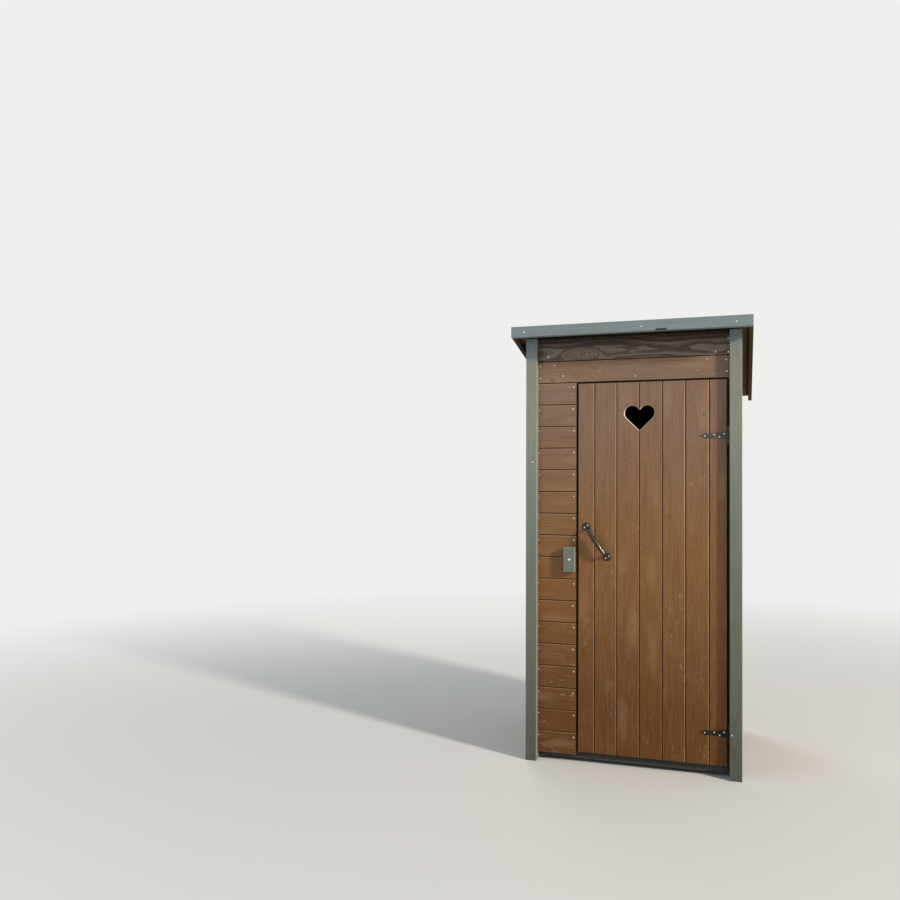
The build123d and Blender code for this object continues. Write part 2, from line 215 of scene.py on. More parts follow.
def lay_coats(add, figure, ground, *coats):
    """Lays coats of colour over a ground, one after another, and gives the last colour.

    A coat names the part of the figure that it follows, the values there between which it
    builds up, how much it covers in the end, and its colour. "soft" eases it in and out.
    """
    colour = linear(ground) if isinstance(ground, str) else ground
    for part, low, high, cover, tint, *soft in coats:
        ease = "SMOOTHSTEP" if soft else "LINEAR"
        amount = add(RANGE, (figure[part], low, high, 0.0, cover), interpolation_type=ease)
        tint = linear(tint) if isinstance(tint, str) else tint
        colour = add(MIX, {0: amount, 6: colour, 7: tint}, 2, data_type="RGBA")
    return colour


def place_on(add, axis):
    """Place along one axis of the outhouse, in metres."""
    place = add("ShaderNodeTexCoord", output="Object")
    return add("ShaderNodeSeparateXYZ", (place,), axis)


def wood_figure(add):
    """Grain of a flat-sawn spruce board, read from the board's own grain coordinates.

    The grain attribute runs along the board, across it and away from the pith, in metres.
    The real growth rings are 2 to 4 mm apart and the fibres under 1 mm. They are drawn 9 mm
    and 3 mm apart, so that they show at the size of the picture.
    """
    # joint carries dark joints and painted shade, cut the pale cut faces with a painted highlight,
    # strength the figure and a painted shadow
    figure = {
        name: add("ShaderNodeAttribute", output="Fac", attribute_name=name)
        for name in ("tone", "strength", "arris", "joint", "cut")
    }
    figure["up"] = place_on(add, "Z")
    grain = add("ShaderNodeAttribute", output="Vector", attribute_name="grain")
    figure.update(patterns(add, grain, {
        "fibre": ((150, 3, 3), 4.0, 0.65),
        "streak": ((480, 11, 11), 3.0, 0.6),
        "warmth": ((770, 290, 290), 2.0, 0.5),
        "blotch": ((140, 42, 42), 5.0, 0.62),
        "mark": ((26, 11, 11), 4.0, 0.55),
        "handled": ((190, 60, 60), 3.0, 0.55),
    }))
    bends = patterns(add, grain, {
        "knot": ((17, 11, 11), 2.0, 0.55),
        "growth": ((670, 170, 170), 4.0, 0.5),
    }, "Color")

    # Knots stand in cells of 360 x 110 x 600 mm, and one cell in three has one
    cell_factors = [1 / (length * MM) for length in (360, 110, 600)]
    knot_space = add(VECTOR_MATH, (grain, cell_factors), operation="MULTIPLY")
    cells = add(
        "ShaderNodeTexVoronoi", {"Vector": knot_space, "Scale": 1.0, "Randomness": 0.85}, None
    )
    from_centre = add(VECTOR_MATH, (knot_space, cells["Position"]), operation="SUBTRACT")
    oval = add(VECTOR_MATH, (from_centre, (0.28, 0.11, 0.04)), operation="MULTIPLY")
    ragged = add(VECTOR_MATH, (bends["knot"], (0.014, 0.010, 0.0), oval), operation="MULTIPLY_ADD")
    distance = add(VECTOR_MATH, (ragged, (0.007, 0.005, 0.0)), "Value", operation="DISTANCE")
    stretched = add(VECTOR_MATH, (ragged, (0.30, 1.0, 1.0)), operation="MULTIPLY")
    reach = add(VECTOR_MATH, (stretched, (0.002, 0.005, 0.0)), "Value", operation="DISTANCE")
    chance = add("ShaderNodeSeparateColor", (cells["Color"],), None)
    present = add(MATH, (chance["Red"], 0.66), operation="GREATER_THAN")
    radius = add(RANGE, (chance["Green"], 0.0, 1.0, 5 * MM, 11 * MM))
    from_rim = add(MATH, (distance, radius), operation="SUBTRACT")
    off_rim = add(MATH, (from_rim,), operation="ABSOLUTE")
    for part, far, low, high, ease in (
        ("knot_core", from_rim, -2 * MM, 2 * MM, "SMOOTHSTEP"),
        ("knot_halo", reach, 4 * MM, 40 * MM, "SMOOTHSTEP"),
        ("knot_rim", off_rim, 0.0, 2.5 * MM, "LINEAR"),
    ):
        amount = add(RANGE, (far, low, high, 1.0, 0.0), interpolation_type=ease)
        figure[part] = add(MATH, (amount, present), operation="MULTIPLY")

    # Growth rings wander along the board and swerve round its knots
    sway = (bends["growth"], (0.0, 0.05, 0.07), grain)
    wandering = add(VECTOR_MATH, sway, operation="MULTIPLY_ADD")
    near_knot = add(MATH, (figure["knot_halo"], 2.0), operation="POWER")
    swerve = add(MATH, (near_knot, 36 * MM), operation="MULTIPLY")
    round_knot = add("ShaderNodeCombineXYZ", {"Z": swerve})
    growth = {
        "Vector": add(VECTOR_MATH, (wandering, round_knot), operation="ADD"),
        "Scale": 0.314 / (9 * MM), "Distortion": 0.5, "Detail": 2.0, "Detail Scale": 1.5,
    }
    rings = add(
        "ShaderNodeTexWave", growth, "Fac",
        wave_type="RINGS", rings_direction="X", wave_profile="SAW",
    )
    rise = add(RANGE, (rings, 0.25, 0.80, 0.0, 1.0), interpolation_type="SMOOTHSTEP")
    fall = add(RANGE, (rings, 0.93, 1.0, 1.0, 0.0))
    figure["late_wood"] = add(MATH, (rise, fall), operation="MULTIPLY")

    mark = add(RANGE, (figure["mark"], 0.55, 0.74, 0.0, 1.0), interpolation_type="SMOOTHSTEP")
    handled = add(RANGE, (figure["handled"], 0.52, 0.68, 0.0, 1.0))
    figure["scuff"] = add(MATH, (mark, handled), operation="MULTIPLY")
    return figure


def wood_tone(add, figure, ground, first, second):
    """A ground colour tinted by each board's own tone."""
    tone = lay_coats(add, figure, first, ("tone", 0, 1, 1, second))
    return add(MIX, {0: 1.0, 6: ground, 7: tone}, 2, data_type="RGBA", blend_type="MULTIPLY")


def wood_relief(add, figure, depth):
    """Bump from raised late wood, open fibre and the rims of knots."""
    relief = add(MATH, (figure["fibre"], 0.55), operation="MULTIPLY")
    for part, height in (("late_wood", 0.45), ("knot_rim", -0.4)):
        relief = add(MATH, (figure[part], height, relief), operation="MULTIPLY_ADD")
    return add(BUMP, {"Height": relief, "Strength": 0.6, "Distance": depth})


def stained_softwood(add, colours):
    """Planed spruce under a brown semi-opaque stain.

    Late wood takes less stain and shows as paler lines. The stain is darker and warmer towards
    the ground, greyer higher up as painted sky sheen, near black just under the eaves as
    painted shade, and thin along each worked edge. The board with the strongest figure, at
    the top, is painted a dark grey brown as the painted shadow of the fascia.
    """
    figure = wood_figure(add)
    ground = lay_coats(
        add, figure, "#613b0e",
        # Darker and warmer towards the ground; greyer towards the top as painted sky sheen
        ("up", 0.1, 1.15, 1.0, colours.stain, "soft"),
        ("up", 0.95, 2.0, 1.0, "#887368", "soft"),
    )
    thin_stain = lay_coats(add, figure, "#9c7850", ("up", 0.3, 1.5, 1, "#b69678"))
    rub = add(RANGE, (figure["blotch"], 0.35, 0.65, 0.25, 0.50))
    figure["worn"] = add(MATH, (figure["arris"], rub), operation="MULTIPLY")
    figure["line"] = add(MATH, (figure["late_wood"], figure["strength"]), operation="MULTIPLY")
    gloss = add(RANGE, (figure["streak"], 0.3, 0.7, 0.42, 0.58))
    return {
        "Base Color": lay_coats(
            add, figure, wood_tone(add, figure, ground, "#f6e8df", "#f4efe0"),
            ("warmth", 0.48, 0.72, 0.28, "#86542d"),
            # Painted shadow of the fascia on the strongly figured top board
            ("strength", 0.3, 0.45, 0.92, "#473f3b"),
            ("streak", 0.42, 0.68, 0.24, "#573618"),
            ("blotch", 0.50, 0.74, 0.15, "#a07c52"),
            ("blotch", 0.42, 0.28, 0.16, "#513415"),
            ("line", 0, 1, 1, "#a3968b"),
            ("fibre", 0.55, 0.30, 0.30, "#4a3018"),
            ("fibre", 0.55, 0.75, 0.15, "#b0906c"),
            ("knot_halo", 0, 1, 0.22, "#ab8d6c"),
            ("knot_core", 0, 1, 0.40, "#61422a"),
            ("knot_rim", 0, 1, 0.30, "#43290f"),
            ("scuff", 0, 1, 0.42, "#c0a488"),
            ("worn", 0, 1, 1, thin_stain),
            # Pale cut faces of the heart: raw wood, brightened as painted highlight
            ("cut", 0, 1, 0.95, "#f6e6cc"),
            # Painted shade under the eaves, at the tops of the boards
            ("up", 2.07, 2.128, 0.75, "#1c1613", "soft"),
            ("joint", 0, 1, 0.95, "#44200a"),
        ),
        "Roughness": add(MATH, (figure["joint"], 0.5, gloss), operation="MULTIPLY_ADD"),
        "Normal": wood_relief(add, figure, 0.5 * MM),
        "IOR": 1.48,
        "Specular IOR Level": 0.25,
    }


def painted_timber(add, colours):
    """Sawn timber under thin grey-blue paint.

    Saw marks and grain show through the paint. It is greener and darker towards the ground,
    paler on its right-facing sides below the roof as painted sunlight, and rubbed pale on
    its edges. The studs in the door's gaps and the base rails are darkened as painted shade.
    """
    figure = wood_figure(add)
    # Painted sunlight: sides that face right, below the roof, are made paler
    facing = add("ShaderNodeTexCoord", output="Normal")
    facing_right = add("ShaderNodeSeparateXYZ", (facing,), "X")
    lit_side = add(RANGE, (facing_right, 0.4, 0.8, 0.0, 1.0))
    below_roof = add(RANGE, (figure["up"], 1.85, 1.75, 0.0, 0.75))
    figure["sunny"] = add(MATH, (below_roof, lit_side), operation="MULTIPLY")
    rub = add(RANGE, (figure["fibre"], 0.4, 0.7, 0.2, 0.6))
    figure["worn"] = add(MATH, (figure["arris"], rub), operation="MULTIPLY")
    ground = lay_coats(
        add, figure, "#484b3f",
        ("up", 0.0, 0.45, 1.0, "#5b5f53"),
        ("up", 0.45, 1.2, 1.0, "#6f786d"),
        ("up", 1.2, 1.7, 1.0, "#86887b"),
        ("sunny", 0, 1, 1, "#8e8b7b"),
        ("up", 2.0, 2.1, 1.0, colours.paint, "soft"),
    )
    gloss = add(RANGE, (figure["fibre"], 0.3, 0.7, 0.60, 0.72))
    return {
        "Base Color": lay_coats(
            add, figure, wood_tone(add, figure, ground, "#eef0ef", "#ffffff"),
            ("streak", 0.42, 0.70, 0.16, "#555b56"),
            ("streak", 0.44, 0.30, 0.12, "#a2a59c"),
            ("late_wood", 0, 1, 0.06, "#a3a59a"),
            ("fibre", 0.52, 0.28, 0.34, "#474d4a"),
            ("knot_rim", 0, 1, 0.28, "#4a4f4a"),
            ("worn", 0, 1, 1, "#b5b2a0"),
            # Painted shade on the studs in the door's gaps, the base rails and the barge boards'
            # inner edges
            ("joint", 0, 1, 0.9, "#17181a"),
        ),
        "Roughness": add(MATH, (figure["joint"], 0.4, gloss), operation="MULTIPLY_ADD"),
        "Normal": wood_relief(add, figure, 0.6 * MM),
        "Specular IOR Level": 0.35,
    }


def bare_softwood(add, colours):
    """Bare planed spruce: yellow early wood, orange late wood, brown knots, painted shade at the
    eaves.
    """
    figure = wood_figure(add)
    figure["halo"] = add(MATH, (figure["knot_halo"], 3.0), operation="POWER")
    # Painted shade: near black under the front eaves, between the posts
    near_front = add(RANGE, (place_on(add, "Y"), -0.405, -0.445, 0.0, 1.0))
    off_middle = add(MATH, (place_on(add, "X"),), operation="ABSOLUTE")
    between_posts = add(RANGE, (off_middle, 0.54, 0.50, 0.0, 1.0))
    figure["behind_fascia"] = add(MATH, (near_front, between_posts), operation="MULTIPLY")
    grime_and_shade = add(MATH, (figure["joint"], figure["behind_fascia"]), operation="MAXIMUM")
    gloss = add(RANGE, (figure["fibre"], 0.3, 0.7, 0.60, 0.74))
    return {
        "Base Color": lay_coats(
            add, figure, shaded(colours.softwood, 0.82),
            ("tone", 0, 1, 1, shaded(colours.softwood, 1.06)),
            ("blotch", 0.40, 0.72, 0.35, "#a38156"),
            ("late_wood", 0, 1, 0.50, "#97683a"),
            ("fibre", 0.55, 0.30, 0.40, "#8a6238"),
            ("halo", 0, 1, 0.5, "#a2703c"),
            ("knot_core", 0, 1, 0.8, "#6b4225"),
            # Darkens joints and the floor's front edge, and paints shade on the deck, the barge
            # boards' insides and the door's header
            ("joint", 0, 1, 0.95, "#1d1a0c"),
            ("behind_fascia", 0, 1, 0.99, "#080706"),
        ),
        "Roughness": add(MATH, (grime_and_shade, 0.25, gloss), operation="MULTIPLY_ADD"),
        "Normal": wood_relief(add, figure, 0.5 * MM),
        "Specular IOR Level": 0.25,
    }


def black_enamel(add, colours):
    """Cast iron under stoved black enamel: a deep gloss, brown smears that are partly a painted
    reflection of the boards, and faint orange peel.
    """
    place = add("ShaderNodeTexCoord", output="Object")
    figure = patterns(add, place, {
        "peel": ((3, 3, 3), 2.0, 0.55),
        "smear": ((22, 22, 22), 3.0, 0.55),
    })
    return {
        "Base Color": lay_coats(add, figure, colours.enamel, ("smear", 0.35, 0.7, 1.0, "#20150f")),
        "Roughness": add(RANGE, (figure["smear"], 0.3, 0.7, 0.30, 0.38)),
        "Normal": add(BUMP, {"Height": figure["peel"], "Strength": 0.03, "Distance": 0.1 * MM}),
        "Specular IOR Level": 0.2,
        "Coat Weight": 1.0,
        "Coat Roughness": 0.18,
    }


def black_powder_coat(add, colours):
    """Pressed steel under matt black powder coat: fine grain, rubbed paler on the high spots.

    Near the ground it is blacker, less rubbed and reflects less, as painted shade. The real grain
    is under 0.5 mm and is drawn 1.6 mm across, so that it shows.
    """
    place = add("ShaderNodeTexCoord", output="Object")
    figure = patterns(add, place, {
        "grain": ((1.6, 1.6, 1.6), 3.0, 0.55),
        "rub": ((9, 9, 9), 4.0, 0.55),
    })
    figure["up"] = place_on(add, "Z")
    # Painted light and shade: paler and more rubbed higher up, blacker near the ground
    rubbed = add(RANGE, (figure["rub"], 0.42, 0.72, 0.0, 0.8))
    painted_light_by_height = add(RANGE, (figure["up"], 0.5, 1.4, 0.3, 1.0))
    figure["rubbed"] = add(MATH, (rubbed, painted_light_by_height), operation="MULTIPLY")
    return {
        "Base Color": lay_coats(
            add, figure, "#1d1e1b",
            ("up", 0.5, 1.4, 1.0, "#34362f"),
            ("rubbed", 0, 1, 1, "#53554c"),
        ),
        "Roughness": add(RANGE, (figure["rub"], 0.3, 0.7, 0.46, 0.62)),
        "Normal": add(BUMP, {"Height": figure["grain"], "Strength": 0.3, "Distance": 0.15 * MM}),
        # Painted shade: less reflection near the ground
        "Specular IOR Level": add(RANGE, (figure["up"], 0.5, 1.4, 0.12, 0.5)),
    }


def zinc_plate(add, colours):
    """Bright zinc-plated steel: pale cloudy metal, with a film of brown stain on some heads."""
    place = add("ShaderNodeTexCoord", output="Object")
    figure = patterns(add, place, {"cloud": ((4, 4, 4), 3.0, 0.55)})
    figure["film"] = add("ShaderNodeAttribute", output="Fac", attribute_name="film")
    gloss = add(RANGE, (figure["cloud"], 0.3, 0.7, 0.28, 0.42))
    return {
        "Base Color": lay_coats(
            add, figure, "#c9cbc8", ("cloud", 0, 1, 1, "#eceeea"), ("film", 0, 1, 1, "#a68d6a")
        ),
        "Roughness": add(MATH, (figure["film"], 0.2, gloss), operation="MULTIPLY_ADD"),
        "Metallic": 0.85,
    }


def mineral_felt(add, colours):
    """Bitumen roofing felt with mineral grit: dark, rough and evenly speckled.

    The real grit is 1 mm across and is drawn 2.5 mm across, so that it shows.
    """
    place = add("ShaderNodeTexCoord", output="Object")
    grit = add("ShaderNodeTexVoronoi", {"Vector": place, "Scale": 1 / (2.5 * MM)}, None)
    figure = patterns(add, place, {
        "patch": ((170, 170, 170), 5.0, 0.55),
        "run": ((26, 400, 400), 3.0, 0.55),
    })
    figure["speck"] = add("ShaderNodeSeparateColor", (grit["Color"],), "Red")
    return {
        "Base Color": lay_coats(
            add, figure, shaded(colours.felt, 0.7),
            ("speck", 0, 1, 1, shaded(colours.felt, 1.35)),
            ("patch", 0.35, 0.7, 0.5, "#5a5954"),
            ("run", 0.5, 0.75, 0.4, "#3c3e38"),
        ),
        "Roughness": add(RANGE, (figure["speck"], 0.0, 1.0, 0.82, 0.95)),
        "Normal": add(BUMP, {"Height": grit["Distance"], "Strength": 0.6, "Distance": 0.8 * MM}),
    }


# Each finish: what makes it, its material's name and the slot of the record that it belongs to
FINISHES = {
    "stain": (stained_softwood, "Brown_stained_planed_spruce", "brown_stained_boards"),
    "paint": (painted_timber, "Grey_blue_painted_sawn_timber", "grey_painted_timber"),
    "softwood": (bare_softwood, "Bare_planed_spruce", "bare_timber"),
    "enamel": (black_enamel, "Gloss_black_enamel_on_cast_iron", "black_iron"),
    "powder coat": (black_powder_coat, "Matt_black_powder_coated_steel", "black_iron"),
    "zinc": (zinc_plate, "Bright_zinc_plated_steel", "zinc_plated_steel"),
    "felt": (mineral_felt, "Mineral_faced_bitumen_felt", "roofing_felt"),
}


def material_of(finish):
    """The material of a finish, made the first time that it is asked for."""
    maker, name, _ = FINISHES[finish]
    material = bpy.data.materials.get(name)
    if material is None:
        material = bpy.data.materials.new(name)
        add = node_adder(material)
        sockets = maker(add, bpy.context.scene.outhouse_colours)
        surface = add("ShaderNodeBsdfPrincipled", sockets)
        add("ShaderNodeOutputMaterial", (surface,), None)
    return material


def only(*pieces):
    """Makes some pieces the only selected ones, and the first of them active."""
    bpy.ops.object.select_all(action="DESELECT")
    for piece in pieces:
        piece.select_set(True)
    bpy.context.view_layer.objects.active = pieces[0]


def select_in(piece, edges=None, faces=None):
    """In edit mode, selects the edges or faces that a test picks."""
    bpy.ops.mesh.select_all(action="DESELECT")
    bpy.ops.mesh.select_mode(type="EDGE" if edges else "FACE")
    body = bmesh.from_edit_mesh(piece.data)
    body.normal_update()
    test = edges or faces
    for part in body.edges if edges else body.faces:
        part.select_set(test(part))
    bmesh.update_edit_mesh(piece.data)


def sharp(edge, angle=math.radians(30)):
    """True for an edge where two faces meet at a corner."""
    return len(edge.link_faces) == 2 and edge.calc_face_angle(0.0) > angle


def runs_along(edge, axis):
    """True for an edge that is parallel to an axis, give or take a roof's slope."""
    direction = (edge.verts[1].co - edge.verts[0].co).normalized()
    return abs(direction[axis]) > 0.97


def span(piece, edge):
    """The way from one end of an edge to the other."""
    first, last = edge.vertices
    return piece.data.vertices[last].co - piece.data.vertices[first].co


def middle_of(mesh):
    """The mean place of a mesh's corners."""
    return sum((vertex.co for vertex in mesh.vertices), Vector()) / len(mesh.vertices)


def add_copy(name, source):
    """A new object with its own copy of another's mesh."""
    piece = bpy.data.objects.new(name, source.data.copy())
    bpy.context.scene.collection.objects.link(piece)
    return piece


def solid_copy(name, node):
    """A copy of a CAD solid, with its loose triangles merged into clean faces."""
    piece = add_copy(name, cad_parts[node])
    piece.data.name = name
    piece.data.materials.clear()
    only(piece)
    bpy.ops.mesh.customdata_custom_splitnormals_clear()
    bpy.ops.object.mode_set(mode="EDIT")
    bpy.ops.mesh.select_all(action="SELECT")
    bpy.ops.mesh.remove_doubles(threshold=0.01 * MM)
    bpy.ops.mesh.dissolve_limited(angle_limit=math.radians(0.4))
    bpy.ops.object.mode_set(mode="OBJECT")
    return piece


def slice_between(source, name, axis, low, high):
    """The part of a solid that lies between two places along an axis, if there is any."""
    reach = [vertex.co[axis] for vertex in source.data.vertices]
    if low > max(reach) - 0.1 * MM or high < min(reach) + 0.1 * MM:
        return None
    piece = add_copy(name, source)
    only(piece)
    bpy.ops.object.mode_set(mode="EDIT")
    for place, cut in ((low, "clear_inner"), (high, "clear_outer")):
        bpy.ops.mesh.select_all(action="SELECT")
        bpy.ops.mesh.bisect(
            plane_co=AXES[axis] * place, plane_no=AXES[axis], use_fill=True, **{cut: True}
        )
    bpy.ops.object.mode_set(mode="OBJECT")
    return piece


def face_values(piece, name):
    """A number for each face of a piece, made the first time that it is asked for."""
    return piece.data.attributes.get(name) or piece.data.attributes.new(name, "FLOAT", "FACE")


def bevel_edges(piece, width, test, segments=2, mark="arris", clamp=True):
    """Bevels the edges of a piece that a test picks, and marks the new faces."""
    flats = [polygon.normal.copy() for polygon in piece.data.polygons]
    only(piece)
    bpy.ops.object.mode_set(mode="EDIT")
    select_in(piece, edges=test)
    bpy.ops.mesh.bevel(offset=width, segments=segments, affect="EDGES", clamp_overlap=clamp)
    bpy.ops.object.mode_set(mode="OBJECT")
    values = face_values(piece, mark)
    for polygon in piece.data.polygons:
        if max(polygon.normal.dot(flat) for flat in flats) < 0.985:
            values.data[polygon.index].value = 1.0


def shade_under_eaves(place):
    """Painted shade on the underside of the roof, heavy outside the walls and light inside."""
    return 0.95 if abs(place.x) > 0.47 else 0.35


def dark_front_edge(place):
    """Darkens the floor's front edge, which shows in the gaps round the door."""
    return 0.85 if place.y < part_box("floor")[0].y + MM else 0.0


def set_grain(piece, along, across, dice, strength=None, grime_and_shade=0.0, coarse=1.0, lean=None):
    """Gives a board its own grain coordinates, tone, figure, dark joints and painted shade, so no
    two match.

    The grain runs along an axis, or along the direction of a leaning brace. The darkening of
    joints and the painted shade is one number for the whole board, or a function of the place.
    """
    depth = 3 - along - across
    mesh = piece.data
    start, sideways = dice.uniform(0, 40), dice.uniform(-20, 20) * MM
    slope = dice.uniform(-0.03, 0.03)
    pith = dice.uniform(15, 60) * MM
    middle = middle_of(mesh)
    lengthways = lean or AXES[along]
    crossways = AXES[depth].cross(lean) if lean else AXES[across]
    places = []
    for vertex in mesh.vertices:
        offset = vertex.co - middle
        run = offset.dot(lengthways)
        places.append(run + middle[along] + start)
        places.append((offset.dot(crossways) + sideways) / coarse)
        places.append((offset[depth] + pith) / coarse + slope * run)
    mesh.attributes.new("grain", "FLOAT_VECTOR", "POINT").data.foreach_set("vector", places)
    if strength is None:
        strength = dice.uniform(0.0, 0.07)
    tone = dice.random()
    for name, value in (("tone", tone), ("strength", strength), ("joint", grime_and_shade)):
        numbers = [value(corner.co) if callable(value) else value for corner in mesh.vertices]
        mesh.attributes.new(name, "FLOAT", "POINT").data.foreach_set("value", numbers)


def join(name, boards):
    """Joins boards into one piece with a name."""
    only(*boards)
    if len(boards) > 1:
        bpy.ops.object.join()
    boards[0].name = name
    boards[0].data.name = name
    return boards[0]


def finish_piece(piece, body, finish, *nodes):
    """Gives a piece its material and its body, and hides the CAD nodes it stands for."""
    piece.data.materials.clear()
    piece.data.materials.append(material_of(finish))
    for polygon in piece.data.polygons:
        polygon.material_index = 0
    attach(piece, body)
    if nodes:
        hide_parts(*nodes)


def boards_from(node, name, across, joints, along, sizes, dice, strengths_and_shadow=None, grime_and_shade=0.0):
    """A CAD slab cut into boards at the given joints, with tongues that close the gaps."""
    slab = solid_copy(name + "_slab", node)
    low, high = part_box(node)
    facing = max(slab.data.polygons, key=lambda polygon: polygon.area).normal.copy()
    half_gap = sizes.board_gap / 2
    beyond = 1.0
    edges = [low[across] - beyond, *joints, high[across] + beyond]
    boards = []
    for number, (start, end) in enumerate(zip(edges, edges[1:])):
        board = slice_between(slab, f"{name}_{number}", across, start + half_gap, end - half_gap)
        if board is None:
            continue
        bevel_edges(
            board, sizes.board_chamfer,
            lambda edge: (
                sharp(edge) and runs_along(edge, along) and edge.calc_length() > SHORTEST_CHAMFER
            ),
        )
        proud = dice.uniform(-BOARD_UNEVENNESS, BOARD_UNEVENNESS)
        board.data.transform(Matrix.Translation(facing * proud))
        # A given strength also paints the fascia's shadow on a stained board
        strength = (strengths_and_shadow or {}).get(number)
        set_grain(board, along, across, dice, strength, grime_and_shade, coarse=1.15 if strength else 1.0)
        boards.append(board)
    for number, joint in enumerate(joints):
        tongue = slice_between(
            slab, f"{name}_tongue_{number}", across, joint - half_gap, joint + half_gap
        )
        if tongue is None:
            continue
        about = Matrix.Translation(middle_of(tongue.data))
        tongue.data.transform(about @ Matrix.Scale(TONGUE_SHARE, 4, facing) @ about.inverted())
        set_grain(tongue, along, across, dice, grime_and_shade=IN_JOINT)
        boards.append(tongue)
    bpy.data.objects.remove(slab)
    return join(name, boards)


def joints_every(low, high, pitch):
    """Places of the joints between equal boards, from the low side up."""
    narrowest = 0.02
    count = int((high - low) / pitch - narrowest)
    return [low + pitch * (n + 1) for n in range(count)]


def build_boarding(sizes):
    """The brown boards of the front, side and rear walls."""
    dice = random.Random(SEED)
    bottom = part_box("front_side_wall")[0].z
    for wall, along in (
        ("front_side", ALONG_X), ("front_top", ALONG_X), ("left", ALONG_Y), ("right", ALONG_Y),
        ("rear", ALONG_X),
    ):
        node = wall + "_wall"
        low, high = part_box(node)
        joints = joints_every(bottom, high.z + 10 * MM, sizes.board_cover)
        joints = [z for z in joints if z > low.z - MM]
        top_board = sum(joint < high.z - MM for joint in joints)
        figured_and_shaded = {top_board: BOLD_FIGURE_AND_SHADOW} if wall == "front_top" else None
        piece = boards_from(node, wall + "_boards", ALONG_Z, joints, along, sizes, dice, figured_and_shaded)
        finish_piece(piece, "root", "stain", node)


def build_door_boards(sizes):
    """The upright boards of the door, with the heart that the frame's panel has."""
    dice = random.Random(SEED + 1)
    low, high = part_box("door_panel")
    first = low.x + sizes.door_edge_board
    joints = [first, *joints_every(first, high.x, sizes.board_cover)]
    piece = boards_from("door_panel", "door_boards", ALONG_X, joints, ALONG_Z, sizes, dice)
    heart = Vector((joints[2], 0, high.z - HEART_DROP))
    heart_low = heart - Vector((90, 0, 115)) * MM
    heart_high = heart + Vector((90, 0, 50)) * MM

    def by_heart(place):
        return all(heart_low[axis] < place[axis] < heart_high[axis] for axis in (0, 2))

    def round_heart(edge):
        return sharp(edge) and all(
            by_heart(corner.co) and corner.co.y < low.y + MM for corner in edge.verts
        )

    # The faces cut through the boards are made pale: thin stain on raw wood, brightened as painted
    # highlight
    cut = face_values(piece, "cut")
    for polygon in piece.data.polygons:
        if by_heart(polygon.center) and abs(polygon.normal.y) < 0.5:
            cut.data[polygon.index].value = 1.0
    bevel_edges(piece, sizes.heart_edge, round_heart, 1, mark="cut", clamp=False)

    # Painted shade: the sanded edge keeps its stain colour where it faces down
    cut = face_values(piece, "cut")
    for polygon in piece.data.polygons:
        if polygon.normal.y < -0.5 and polygon.normal.z < -0.2:
            cut.data[polygon.index].value *= 0.15
    finish_piece(piece, "door", "stain", "door_panel")


def dress_timber(node, along, across, edge, body, finish, dice, grime_and_shade=0.0):
    """A length of timber from the frame with its edges rounded and its grain set."""
    piece = solid_copy(node + "_dressed", node)
    lean = None
    if "brace" in node:
        longest = max(piece.data.edges, key=lambda run: span(piece, run).length)
        lean = span(piece, longest).normalized()
    bevel_edges(piece, edge, sharp)
    set_grain(piece, along, across, dice, grime_and_shade=grime_and_shade, lean=lean)
    finish_piece(piece, body, finish, node)
    return piece


def dress_timbers(sizes, body, finish, dice, *rows):
    """Rows of like timbers: their nodes, the way that they run and their painted shade."""
    for nodes, along, grime_and_shade in rows:
        across = ALONG_X if along == ALONG_Z else ALONG_Z
        for node in nodes.split():
            dress_timber(node, along, across, sizes.timber_edge, body, finish, dice, grime_and_shade)


def build_painted_timber(sizes):
    """Posts, base rails and the studs in the dark gaps beside the door."""
    dice = random.Random(SEED + 2)
    dress_timbers(
        sizes, "root", "paint", dice,
        ("front_left_post front_right_post rear_left_post rear_right_post", ALONG_Z, 0.0),
        ("base_front_rail base_rear_rail", ALONG_X, SHADE_ON_BASE_RAILS),
        ("base_left_rail base_right_rail", ALONG_Y, SHADE_ON_BASE_RAILS),
        ("latch_stud hinge_stud", ALONG_Z, SHADE_IN_DOOR_GAP),
    )


